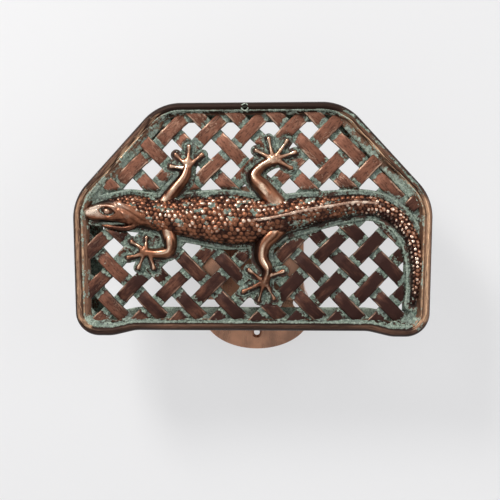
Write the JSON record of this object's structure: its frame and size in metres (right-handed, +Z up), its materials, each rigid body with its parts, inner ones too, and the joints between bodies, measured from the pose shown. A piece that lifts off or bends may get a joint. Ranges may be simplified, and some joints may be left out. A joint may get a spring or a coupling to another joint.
{
  "type": "hose holder",
  "caption": "Wall-mounted garden hose holder: an arched saddle bracket carries the coil behind a woven plaque with a lizard in relief.",
  "frame": {"origin": "on the wall, midway between the two upper wall screws of the bracket", "axes": "+X to the viewer's right along the plaque, +Y into the wall, +Z up"},
  "size_m": [0.3578, 0.1347, 0.256],
  "materials": {
    "rim_copper": "cast, antique copper plated with worn bright edges",
    "panel_patina": "cast, copper strips over a pale verdigris ground",
    "lizard_copper": "cast, rubbed bright copper",
    "boss_patina": "cast, dull copper with verdigris",
    "bracket_copper": "smooth satin copper",
    "screw_steel": "zinc plated",
    "washer_steel": "zinc plated"
  },
  "bodies": {
    "root": {"front_rim": "rim_copper", "woven_panel": "panel_patina", "lizard": "lizard_copper", "screw_bosses": "boss_patina", "saddle_bracket": "bracket_copper", "panel_screws": "screw_steel", "lock_washers": "washer_steel"}
  },
  "joints": []
}
